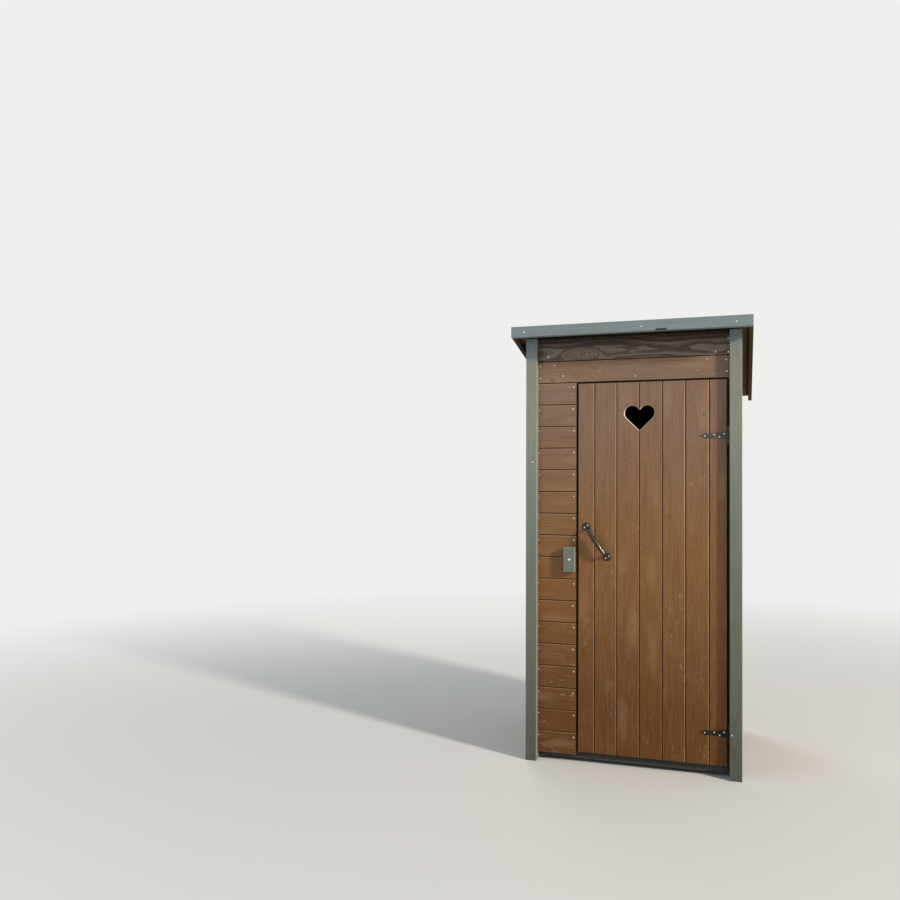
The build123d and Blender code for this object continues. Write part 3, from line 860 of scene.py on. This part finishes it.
def build_fascia(sizes):
    """The board across the front of the roof, with a splinter torn from its lower edge."""
    dice = random.Random(SEED + 10)
    piece = solid_copy("fascia_dressed", "fascia")
    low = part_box("fascia")[0]
    torn = low.x + TEAR_FROM_LEFT
    ends = (torn - 22 * MM, torn + 20 * MM)
    at_face = low.y + 0.1 * MM
    edge_z = min(corner.co.z for corner in piece.data.vertices if corner.co.y < at_face)
    cuts = [(Vector((x, 0, 0)), AXES[0]) for x in (torn - 34 * MM, *ends, torn + 28 * MM)]
    cuts.append((Vector((0, 0, edge_z + 10 * MM)), AXES[2]))
    only(piece)
    bpy.ops.object.mode_set(mode="EDIT")
    for place, normal in cuts:
        bpy.ops.mesh.select_all(action="SELECT")
        bpy.ops.mesh.bisect(plane_co=place, plane_no=normal)
    bpy.ops.mesh.select_all(action="DESELECT")
    bpy.ops.mesh.select_mode(type="VERT")
    body = bmesh.from_edit_mesh(piece.data)

    def is_torn(place):
        at_edge = place.y < at_face and place.z < edge_z + 0.1 * MM
        return at_edge and any(abs(place.x - end) < 0.1 * MM for end in ends)

    marked = [corner.co.copy() for corner in body.verts if is_torn(corner.co)]
    for corner in body.verts:
        corner.select_set(is_torn(corner.co))
    bmesh.update_edit_mesh(piece.data)
    lift = Vector((0, 6, 5)) * MM
    bpy.ops.transform.translate(value=lift)
    bpy.ops.object.mode_set(mode="OBJECT")

    def near_splinter(place):
        in_height = place.y < low.y + 7 * MM and place.z < edge_z + 11 * MM
        return in_height and abs(place.x - torn) < 25 * MM

    bevel_edges(
        piece, sizes.timber_edge,
        lambda edge: sharp(edge) and not any(near_splinter(corner.co) for corner in edge.verts),
    )

    def grime_and_shade(place):
        return 1.0 if any((place - mark - lift).length < 3 * MM for mark in marked) else 0.0

    set_grain(piece, ALONG_X, ALONG_Z, dice, grime_and_shade=grime_and_shade)
    finish_piece(piece, "root", "paint", "fascia")


def build_barge_boards(sizes):
    """The boards along the roof's sides: painted outside, left bare on the inside and below."""
    dice = random.Random(SEED + 9)
    for node, outward in (("left_barge_board", -1), ("right_barge_board", 1)):
        low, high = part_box(node)
        outside = high.x if outward > 0 else low.x

        # Painted shade under the eaves on the faces left bare inside and below
        def grime_and_shade(place):
            return shade_under_eaves(place) if abs(place.x - outside) > MM else 0.0

        edge = sizes.timber_edge
        piece = dress_timber(node, ALONG_Y, ALONG_Z, edge, "root", "paint", dice, grime_and_shade)
        piece.data.materials.append(material_of("softwood"))
        for polygon in piece.data.polygons:
            if polygon.normal.x * outward < -0.5 or polygon.normal.z < -0.5:
                polygon.material_index = 1


def build_bare_timber(sizes):
    """The unpainted framing inside and the ledges and braces of the door."""
    dice = random.Random(SEED + 3)
    dress_timbers(
        sizes, "root", "softwood", dice,
        ("floor_joist front_top_plate rear_top_plate", ALONG_X, 0.0),
        ("left_top_rail right_top_rail left_mid_rail right_mid_rail", ALONG_Y, 0.0),
        ("rear_mid_rail roof_purlin", ALONG_X, 0.0),
        ("front_left_stud", ALONG_Z, 0.0),
        ("door_header", ALONG_X, SHADE_IN_DOOR_GAP),
    )
    dress_timbers(
        sizes, "door", "softwood", dice,
        ("door_bottom_ledge door_middle_ledge door_top_ledge", ALONG_X, 0.0),
        ("door_lower_brace door_upper_brace", ALONG_X, 0.0),
    )


def lay_boards(node, name, across, along, width, grime_and_shade, dice, sizes):
    """Bare boards of one width, laid side by side in a slab of the frame."""
    low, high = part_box(node)
    joints = joints_every(low[across], high[across], width)
    piece = boards_from(node, name, across, joints, along, sizes, dice, grime_and_shade=grime_and_shade)
    finish_piece(piece, "root", "softwood", node)


def build_floor(sizes):
    """The floor boards, which run from side to side."""
    dice, width = random.Random(SEED + 4), sizes.floor_board
    lay_boards("floor", "floor_boards", ALONG_Y, ALONG_X, width, dark_front_edge, dice, sizes)


def build_deck(sizes):
    """The deck boards, which run from front to rear."""
    dice, width = random.Random(SEED + 5), sizes.deck_board
    lay_boards("roof_deck", "roof_deck_boards", ALONG_X, ALONG_Y, width, shade_under_eaves, dice, sizes)


def build_felt(sizes):
    """Two lengths of felt, the upper lapped over the lower, and clout nails round the edges."""
    low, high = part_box("roof_covering")
    lower = solid_copy("lower_felt", "roof_covering")
    facing = max(lower.data.polygons, key=lambda polygon: polygon.area).normal.copy()
    if facing.z < 0:
        facing.negate()
    lap = high.y - FELT_LAP
    upper = slice_between(lower, "upper_felt", ALONG_Y, low.y - MM, lap)
    upper.data.transform(Matrix.Translation(facing * 1.6 * MM))
    for piece in (lower, upper):
        bevel_edges(piece, 0.6 * MM, sharp, 1)
    finish_piece(join("roof_felt", [lower, upper]), "root", "felt", "roof_covering")

    upright_thickness = 3.07 * MM
    fall = (high.z - low.z - upright_thickness) / (high.y - low.y)

    def on_felt(x, y):
        lift = 1.5 * MM if y < lap else -0.1 * MM
        return Vector((x, y, high.z - (y - low.y) * fall)) + facing * lift

    places = []
    for n in range(10):
        x = low.x + 18 * MM + n * (high.x - low.x - 36 * MM) / 9
        places += [on_felt(x, y) for y in (low.y + 14 * MM, lap - 16 * MM, high.y - 14 * MM)]
    for n in range(1, 9):
        y = low.y + n * (high.y - low.y) / 9
        places += [on_felt(x, y) for x in (low.x + 12 * MM, high.x - 12 * MM)]
    dice = random.Random(SEED + 13)
    nail = model_nail("clout", sizes.clout_radius, 1.2 * MM)
    heads = [place_copy(nail, place, facing, 0.0, dice.uniform(0.5, 0.9)) for place in places]
    bpy.data.objects.remove(nail)
    finish_piece(join("felt_nails", heads), "root", "zinc")


def build_hinges():
    """The T-hinges, with softened edges."""
    for part, edge, body in (("leaf", 0.35 * MM, "root"), ("strap", 0.5 * MM, "door")):
        for node in (f"lower_hinge_{part}", f"upper_hinge_{part}"):
            piece = solid_copy(node + "_coated", node)
            bevel_edges(piece, edge, lambda corner: sharp(corner, math.radians(50)), 1)
            finish_piece(piece, body, "powder coat", node)


def smooth_piece(name, node, angle, body, finish):
    """A turned or cast part of the frame, smooth but for its corners."""
    piece = solid_copy(name, node)
    only(piece)
    bpy.ops.object.shade_smooth_by_angle(angle=math.radians(angle))
    finish_piece(piece, body, finish, node)


def build_turn_button():
    """The wooden turn-button and its screw."""
    dice = random.Random(SEED + 6)
    dress_timber("turn_button", ALONG_Z, ALONG_X, 0.8 * MM, "turn_button", "paint", dice)
    smooth_piece("turn_button_bolt", "turn_button_screw", 40, "root", "zinc")


def model_head(name, radius, height):
    """A round head with a rounded rim, facing up at the origin, left open to edit."""
    bpy.ops.object.select_all(action="DESELECT")
    bpy.ops.mesh.primitive_cylinder_add(
        vertices=12, radius=radius, depth=2 * height, location=(0, 0, 0), end_fill_type="NGON"
    )
    head = bpy.context.object
    head.name = name
    bpy.ops.object.mode_set(mode="EDIT")
    select_in(head, faces=lambda face: face.normal.z > 0.9)
    bpy.ops.mesh.bevel(offset=0.6 * height, segments=2, affect="EDGES", clamp_overlap=True)
    select_in(head, faces=lambda face: face.normal.z < -0.9)
    bpy.ops.mesh.delete(type="FACE")
    select_in(head, faces=lambda face: face.normal.z > 0.99)
    return head


def model_nail(name, radius, height):
    """A flat nail head with a rounded rim and a shallow crown."""
    head = model_head(name, radius, height)
    bpy.ops.mesh.inset(thickness=0.4 * radius)
    bpy.ops.transform.translate(value=(0, 0, 0.15 * height))
    bpy.ops.object.mode_set(mode="OBJECT")
    return head


def model_screw(name, radius, height):
    """A pan screw head with a rounded rim and a six-lobed recess in its crown."""
    head = model_head(name, radius, height)
    bpy.ops.mesh.inset(thickness=0.38 * radius)
    body = bmesh.from_edit_mesh(head.data)
    crown = next(face for face in body.faces if face.select)
    for number, corner in enumerate(crown.verts):
        if number % 2:
            corner.co.x *= 0.66
            corner.co.y *= 0.66
    bmesh.update_edit_mesh(head.data)
    bpy.ops.mesh.extrude_region_move(TRANSFORM_OT_translate={"value": (0, 0, -0.8 * height)})
    bpy.ops.object.mode_set(mode="OBJECT")
    return head


def place_copy(model, place, outward, spin, film=0.0):
    """A copy of a head with its own mesh, turned to face outward at a place."""
    copy = add_copy(model.name + "_copy", model)
    turn = Vector((0, 0, 1)).rotation_difference(outward).to_matrix().to_4x4()
    copy.data.transform(Matrix.Translation(place) @ turn @ Matrix.Rotation(spin, 4, "Z"))
    values = copy.data.attributes.new("film", "FLOAT", "POINT")
    values.data.foreach_set("value", [film] * len(copy.data.vertices))
    return copy


def front_screw_places(sizes, dice):
    """Where the screws of the front boards, the posts and the fascia stand, and their films."""
    side_low, side_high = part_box("front_side_wall")
    top_low, top_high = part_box("front_top_wall")
    fascia_low, fascia_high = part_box("fascia")
    left_post, right_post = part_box("front_left_post")[0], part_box("front_right_post")[0]
    places = []
    for row in range(round((side_high.z - side_low.z) / sizes.board_cover)):
        top = side_low.z + sizes.board_cover * (row + 1)
        wobble = dice.uniform(-3, 3) * MM
        places.append((side_high.x - 13 * MM + wobble, side_low.y, top - 24 * MM, 0.15))
        places.append((side_low.x + 4 * MM, side_low.y, top - 26 * MM + wobble / 2, 0.55))
    # From the left end of the top boards, or from the right for a minus, and from their joint
    joint = top_low.z + sizes.board_cover
    for x, z, film in (
        (10, -22, 0.3), (11, -84, 0.2), (83, -21, 0.5), (128, -76, 0.3), (488, -88, 0.4),
        (-150, -70, 0.9), (-106, -18, 0.7), (-16, -23, 0.1), (-13, -79, 0.2), (52, 24, 0.2),
        (-64, 16, 0.5), (-6, 13, 0.1), (-7, 78, 0.2),
    ):
        end = top_low.x if x > 0 else top_high.x
        places.append((end + x * MM, top_low.y, joint + z * MM, film))
    places.append((left_post.x + 35 * MM, left_post.y, 1.509, 0.0))
    places.append((right_post.x + 8 * MM, right_post.y, 0.216, 0.0))
    for x in (65 * MM, 639 * MM, 1072 * MM):
        places.append((fascia_low.x + x, fascia_low.y, fascia_high.z - 30 * MM, 0.0))
    return places


def side_screw_places(sizes, dice):
    """Where the screws at the ends of the side and rear boards stand, and which way they face."""
    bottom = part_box("front_side_wall")[0].z
    places = []
    for node, across, outward in (
        ("left_wall", ALONG_Y, -AXES[0]), ("right_wall", ALONG_Y, AXES[0]),
        ("rear_wall", ALONG_X, AXES[1]),
    ):
        low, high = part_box(node)
        for row in range(int((high.z - bottom) / sizes.board_cover)):
            for end in (low[across] + 14 * MM, high[across] - 14 * MM):
                z = bottom + sizes.board_cover * (row + 1) - 24 * MM + dice.uniform(-2, 2) * MM
                place = Vector((high.x if outward.x > 0 else low.x, high.y, z))
                place[across] = end + dice.uniform(-3, 3) * MM
                drop = (place.y - low.y) * math.tan(ROOF_PITCH) if across == ALONG_Y else 0.0
                if z < high.z - drop - 10 * MM:
                    places.append((place, outward))
    return places


def build_cladding_screws(sizes):
    """The screws of the front, side and rear boards, of the posts and of the fascia."""
    dice = random.Random(SEED + 7)
    screw = model_screw("screw", sizes.screw_radius, 1.4 * MM)
    heads = [
        place_copy(screw, place, FRONT, dice.uniform(0, 1), film)
        for *place, film in front_screw_places(sizes, dice)
    ]
    finish_piece(join("front_screws", heads), "root", "zinc")
    heads = [
        place_copy(screw, place, outward, dice.uniform(0, 1), dice.uniform(0.1, 0.8))
        for place, outward in side_screw_places(sizes, dice)
    ]
    finish_piece(join("side_and_rear_screws", heads), "root", "zinc")
    bpy.data.objects.remove(screw)


def build_iron_screws(name, places, dice):
    """Bright screws through the black iron of the door."""
    screw = model_screw("screw", 3.8 * MM, 1.8 * MM)
    heads = [place_copy(screw, place, FRONT, dice.uniform(0, 1)) for place in places]
    bpy.data.objects.remove(screw)
    finish_piece(join(name, heads), "door", "zinc")


def build_hinge_screws():
    """The screws of the straps, four in a zigzag on each."""
    places = []
    for node in ("lower_hinge_strap", "upper_hinge_strap"):
        low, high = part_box(node)
        strap_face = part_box("door_panel")[0].y - 2.5 * MM
        axis = Vector((high.x - 5 * MM, strap_face, (low.z + high.z) / 2))
        for along, up in ((108.5, -1), (65, 4), (40, -7), (19.5, 8)):
            places.append(axis + Vector((-along, 0, up)) * MM)
    build_iron_screws("hinge_screws", places, random.Random(SEED + 11))


def build_handle_screws():
    """Two screws through each plate of the pull handle."""
    low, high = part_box("door_handle")
    middle = (low + high) / 2
    middle.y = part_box("door_panel")[0].y - 4 * MM
    along = Vector((math.cos(HANDLE_TILT), 0, -math.sin(HANDLE_TILT))) * 92 * MM
    sideways = Vector((math.sin(HANDLE_TILT), 0, math.cos(HANDLE_TILT))) * 9.5 * MM
    places = [middle + along * end + sideways * side for end in (-1, 1) for side in (-1, 1)]
    build_iron_screws("handle_screws", places, random.Random(SEED + 12))


def build_ledge_nails(sizes):
    """Nail heads that hold the door's boards to its ledges, stained over with the boards."""
    dice = random.Random(SEED + 8)
    low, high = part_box("door_panel")
    middles = [low.x + sizes.door_edge_board / 2]
    middle = low.x + sizes.door_edge_board + sizes.board_cover / 2
    while middle < high.x:
        middles.append(middle)
        middle += sizes.board_cover
    nail = model_nail("nail", sizes.nail_radius, 0.7 * MM)
    heads = []
    for node in ("door_bottom_ledge", "door_middle_ledge", "door_top_ledge"):
        ledge_low, ledge_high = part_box(node)
        height = (ledge_low.z + ledge_high.z) / 2
        for middle in middles:
            for side in (-1, 1):
                x = middle + side * 24 * MM + dice.uniform(-3, 3) * MM
                if low.x + 12 * MM < x < high.x - 12 * MM:
                    z = height - side * 20 * MM + dice.uniform(-3, 3) * MM
                    heads.append(place_copy(nail, Vector((x, low.y, z)), FRONT, 0.0))
    bpy.data.objects.remove(nail)
    piece = join("ledge_nails", heads)
    set_grain(piece, ALONG_Z, ALONG_X, dice)
    finish_piece(piece, "door", "stain")


def build_floor_and_backdrop(colours):
    """A plain pale floor, which fades into a backdrop of the same tone where it is far away."""
    bpy.ops.object.select_all(action="DESELECT")
    bpy.ops.mesh.primitive_plane_add(size=60, location=(0, 0, 0))
    floor = bpy.context.object
    floor.name = "studio_floor"
    material = bpy.data.materials.new("Pale_studio_floor")
    add = node_adder(material)
    place = add("ShaderNodeTexCoord", output="Object")
    mottle = add("ShaderNodeTexNoise", {"Vector": place, "Scale": 0.7, "Detail": 3.0}, "Fac")
    colour = lay_coats(
        add, {"mottle": mottle}, shaded(colours.floor, 0.98),
        ("mottle", 0, 1, 1, shaded(colours.floor, 1.02)),
    )
    matt = add("ShaderNodeBsdfDiffuse", {"Color": colour})
    far = add("ShaderNodeEmission", {"Color": linear(BACKDROP), "Strength": 1.0})
    reach = add(VECTOR_MATH, (place,), "Value", operation="LENGTH")
    fade = add(RANGE, (reach, 1.6, 7.0, 0.0, 1.0), interpolation_type="SMOOTHSTEP")
    path = add("ShaderNodeLightPath", output=None)
    blend = add(MATH, (fade, path["Is Camera Ray"]), operation="MULTIPLY")
    surface = add("ShaderNodeMixShader", (blend, matt, far))
    add("ShaderNodeOutputMaterial", (surface,), None)
    floor.data.materials.append(material)

    world = bpy.data.worlds.new("Studio")
    add = node_adder(world)
    path = add("ShaderNodeLightPath", output=None)
    seen = path["Is Camera Ray"]
    for ray in ("Is Glossy Ray", "Is Transmission Ray"):
        seen = add(MATH, (seen, path[ray]), operation="MAXIMUM")
    soft = add("ShaderNodeBackground", (linear("#e4ebf2"), 0.48))
    backdrop = add("ShaderNodeBackground", (linear(BACKDROP), 1.0))
    surface = add("ShaderNodeMixShader", (seen, soft, backdrop))
    add("ShaderNodeOutputWorld", (surface,), None)
    bpy.context.scene.world = world


def build_lamps_and_camera():
    """Soft lamps, and the camera at the photograph's angle."""
    scene = bpy.context.scene
    target = Vector((0, 0, 1.1))
    for name, place, size, power, tint in (
        ("key_lamp", Vector((12.0, -6.0, 7.2)), 1.5, 2250, "#fff6ea"),
        ("fill_lamp", Vector((-3.5, -4.5, 2.6)), 3.0, 45, "#eef3ff"),
        ("back_lamp", Vector((-3.0, 4.5, 3.4)), 3.0, 90, "#f4f4f4"),
    ):
        light = bpy.data.lights.new(name, "AREA")
        light.shape = "DISK"
        light.size = size
        light.energy = power
        light.color = linear(tint)[:3]
        lamp = bpy.data.objects.new(name, light)
        lamp.location = place
        lamp.rotation_euler = (target - place).to_track_quat("-Z", "Y").to_euler()
        scene.collection.objects.link(lamp)

    # The picture's width, the lens and the rise are in pixels, the turns in radians
    picture, focal_length, rise = 900, 880, 21.9
    eye = (0.5279, -4.8330, 1.4088)
    yaw, pitch, roll = 0.3220, 0.0110, 0.0029
    level = math.cos(pitch)
    forward = Vector((-math.sin(yaw) * level, math.cos(yaw) * level, math.sin(pitch)))
    level_right = Vector((math.cos(yaw), math.sin(yaw), 0))
    level_up = level_right.cross(forward)
    right = level_right * math.cos(roll) + level_up * math.sin(roll)
    up = level_up * math.cos(roll) - level_right * math.sin(roll)
    camera_data = bpy.data.cameras.new("camera")
    camera_data.sensor_width = 36.0
    camera_data.lens = 36.0 * focal_length / picture
    camera_data.shift_y = rise / picture
    camera = bpy.data.objects.new("camera", camera_data)
    axes = Matrix((right, up, -forward)).transposed().to_4x4()
    camera.matrix_world = Matrix.Translation(eye) @ axes
    scene.collection.objects.link(camera)
    scene.camera = camera
    scene.view_settings.view_transform = "Standard"


class OUTHOUSE_OT_studio(bpy.types.Operator):
    """Set up the floor, the lamps and the camera"""

    bl_idname = "outhouse.studio"
    bl_label = "Studio"

    def execute(self, context):
        build_floor_and_backdrop(context.scene.outhouse_colours)
        build_lamps_and_camera()
        return {"FINISHED"}


class OUTHOUSE_OT_walls(bpy.types.Operator):
    """Clad the walls with brown boards"""

    bl_idname = "outhouse.walls"
    bl_label = "Wall boards"

    def execute(self, context):
        build_boarding(context.scene.outhouse_sizes)
        return {"FINISHED"}


class OUTHOUSE_OT_door(bpy.types.Operator):
    """Board the door and nail the boards to its ledges"""

    bl_idname = "outhouse.door"
    bl_label = "Door boards"

    def execute(self, context):
        build_door_boards(context.scene.outhouse_sizes)
        build_ledge_nails(context.scene.outhouse_sizes)
        return {"FINISHED"}


class OUTHOUSE_OT_painted_timber(bpy.types.Operator):
    """Dress the posts, the base rails and the studs beside the door"""

    bl_idname = "outhouse.painted_timber"
    bl_label = "Posts and base rails"

    def execute(self, context):
        build_painted_timber(context.scene.outhouse_sizes)
        return {"FINISHED"}


class OUTHOUSE_OT_roof_edges(bpy.types.Operator):
    """Dress the fascia and the boards along the roof's sides"""

    bl_idname = "outhouse.roof_edges"
    bl_label = "Fascia and barge boards"

    def execute(self, context):
        build_fascia(context.scene.outhouse_sizes)
        build_barge_boards(context.scene.outhouse_sizes)
        return {"FINISHED"}


class OUTHOUSE_OT_framing(bpy.types.Operator):
    """Dress the bare framing, the ledges and the braces"""

    bl_idname = "outhouse.framing"
    bl_label = "Framing"

    def execute(self, context):
        build_bare_timber(context.scene.outhouse_sizes)
        return {"FINISHED"}


class OUTHOUSE_OT_floor(bpy.types.Operator):
    """Lay the floor boards"""

    bl_idname = "outhouse.floor"
    bl_label = "Floor boards"

    def execute(self, context):
        build_floor(context.scene.outhouse_sizes)
        return {"FINISHED"}


class OUTHOUSE_OT_deck(bpy.types.Operator):
    """Board the roof"""

    bl_idname = "outhouse.deck"
    bl_label = "Roof boards"

    def execute(self, context):
        build_deck(context.scene.outhouse_sizes)
        return {"FINISHED"}


class OUTHOUSE_OT_felt(bpy.types.Operator):
    """Lay and nail the roofing felt"""

    bl_idname = "outhouse.felt"
    bl_label = "Roofing felt"

    def execute(self, context):
        build_felt(context.scene.outhouse_sizes)
        return {"FINISHED"}


class OUTHOUSE_OT_hinges(bpy.types.Operator):
    """Coat the hinges and screw on their straps"""

    bl_idname = "outhouse.hinges"
    bl_label = "Hinges"

    def execute(self, context):
        build_hinges()
        build_hinge_screws()
        return {"FINISHED"}


class OUTHOUSE_OT_handle(bpy.types.Operator):
    """Enamel the pull handle and screw it on"""

    bl_idname = "outhouse.handle"
    bl_label = "Pull handle"

    def execute(self, context):
        smooth_piece("pull_handle", "door_handle", 35, "door", "enamel")
        build_handle_screws()
        return {"FINISHED"}


class OUTHOUSE_OT_turn_button(bpy.types.Operator):
    """Paint the turn-button and plate its screw"""

    bl_idname = "outhouse.turn_button"
    bl_label = "Turn-button"

    def execute(self, context):
        build_turn_button()
        return {"FINISHED"}


class OUTHOUSE_OT_screws(bpy.types.Operator):
    """Add the screws of the boards, the posts and the fascia"""

    bl_idname = "outhouse.screws"
    bl_label = "Board screws"

    def execute(self, context):
        build_cladding_screws(context.scene.outhouse_sizes)
        return {"FINISHED"}


OPERATORS = (
    OUTHOUSE_OT_studio,
    OUTHOUSE_OT_walls,
    OUTHOUSE_OT_door,
    OUTHOUSE_OT_painted_timber,
    OUTHOUSE_OT_roof_edges,
    OUTHOUSE_OT_framing,
    OUTHOUSE_OT_floor,
    OUTHOUSE_OT_deck,
    OUTHOUSE_OT_felt,
    OUTHOUSE_OT_hinges,
    OUTHOUSE_OT_handle,
    OUTHOUSE_OT_turn_button,
    OUTHOUSE_OT_screws,
)


class OUTHOUSE_PT_panel(bpy.types.Panel):
    """Steps that build the outhouse, in order"""

    bl_label = "Outhouse"
    bl_idname = "OUTHOUSE_PT_panel"
    bl_space_type = "VIEW_3D"
    bl_region_type = "UI"
    bl_category = "Outhouse"

    def draw(self, context):
        for group in (context.scene.outhouse_sizes, context.scene.outhouse_colours):
            for key in group.bl_rna.properties.keys():
                if key not in ("rna_type", "name"):
                    self.layout.prop(group, key)
        for operator in OPERATORS:
            self.layout.operator(operator.bl_idname)


def register():
    """Registers the add-on's classes and settings."""
    for cls in (OuthouseSizes, OuthouseColours, *OPERATORS, OUTHOUSE_PT_panel):
        bpy.utils.register_class(cls)
    bpy.types.Scene.outhouse_sizes = bpy.props.PointerProperty(type=OuthouseSizes)
    bpy.types.Scene.outhouse_colours = bpy.props.PointerProperty(type=OuthouseColours)


def unregister():
    """Removes the add-on's classes and settings."""
    del bpy.types.Scene.outhouse_colours
    del bpy.types.Scene.outhouse_sizes
    for cls in (OUTHOUSE_PT_panel, *reversed(OPERATORS), OuthouseColours, OuthouseSizes):
        bpy.utils.unregister_class(cls)


def main():
    """Builds everything in order."""
    register()
    bpy.ops.outhouse.studio()
    bpy.ops.outhouse.walls()
    bpy.ops.outhouse.door()
    bpy.ops.outhouse.painted_timber()
    bpy.ops.outhouse.roof_edges()
    bpy.ops.outhouse.framing()
    bpy.ops.outhouse.floor()
    bpy.ops.outhouse.deck()
    bpy.ops.outhouse.felt()
    bpy.ops.outhouse.hinges()
    bpy.ops.outhouse.handle()
    bpy.ops.outhouse.turn_button()
    bpy.ops.outhouse.screws()


if __name__ == "__main__":
    main()
